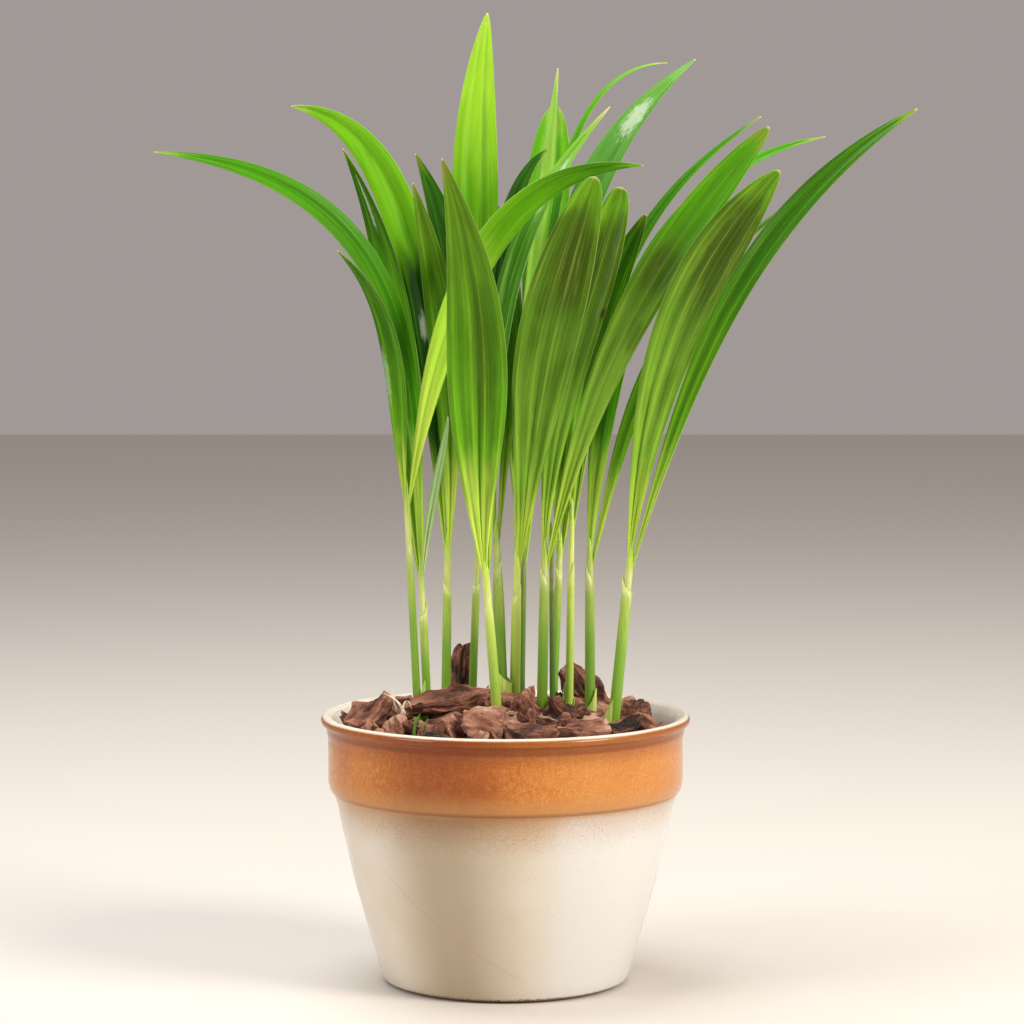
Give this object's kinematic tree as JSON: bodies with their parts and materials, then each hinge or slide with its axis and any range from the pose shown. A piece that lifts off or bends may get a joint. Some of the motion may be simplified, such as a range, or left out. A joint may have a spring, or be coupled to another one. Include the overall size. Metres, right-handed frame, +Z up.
{
  "type": "potted areca palm",
  "caption": "Young areca palm clump: slender upright stems with arching pleated leaf lobes, planted in a glazed tapered pot topped with bark chips.",
  "frame": {"origin": "centre of the pot's flat underside", "axes": "+Z up along the pot's axis, +X to the right and +Y to the back, seen from the plant's front"},
  "size_m": [0.2583, 0.1774, 0.3422],
  "materials": {
    "glazed_pot": "gloss glaze, cream body with an orange-brown band",
    "potting_soil": "matt",
    "bark": "rough, matt",
    "stem": "smooth, waxy",
    "leaf": "glossy, pleated"
  },
  "bodies": {
    "root": {"pot": "glazed_pot", "soil": "potting_soil", "stem_01": "stem", "leaf_01_left": "leaf", "leaf_01_right": "leaf", "stem_02": "stem", "leaf_02_left": "leaf", "leaf_02_right": "leaf", "leaf_02_front": "leaf", "stem_03": "stem", "leaf_03_left": "leaf", "leaf_03_right": "leaf", "stem_04": "stem", "leaf_04_left": "leaf", "leaf_04_right": "leaf", "stem_05": "stem", "leaf_05_left": "leaf", "leaf_05_right": "leaf", "stem_06": "stem", "leaf_06_left": "leaf", "leaf_06_right": "leaf", "stem_07": "stem", "leaf_07_left": "leaf", "leaf_07_right": "leaf", "stem_08": "stem", "leaf_08_left": "leaf", "leaf_08_right": "leaf", "stem_09": "stem", "leaf_09_left": "leaf", "leaf_09_right": "leaf", "stem_10": "stem", "leaf_10_left": "leaf", "leaf_10_right": "leaf", "stem_11": "stem", "leaf_11_left": "leaf", "leaf_11_right": "leaf", "stem_12": "stem", "leaf_12_left": "leaf", "leaf_12_right": "leaf", "stem_13": "stem", "leaf_13_left": "leaf", "leaf_13_right": "leaf", "stem_14": "stem", "leaf_14_left": "leaf", "leaf_14_right": "leaf", "bark_chip_01": "bark", "bark_chip_02": "bark", "bark_chip_03": "bark", "bark_chip_04": "bark", "bark_chip_05": "bark", "bark_chip_06": "bark", "bark_chip_07": "bark", "bark_chip_08": "bark", "bark_chip_09": "bark", "bark_chip_10": "bark", "bark_chip_11": "bark", "bark_chip_12": "bark", "bark_chip_13": "bark", "bark_chip_14": "bark", "bark_bed": "bark"}
  },
  "joints": []
}
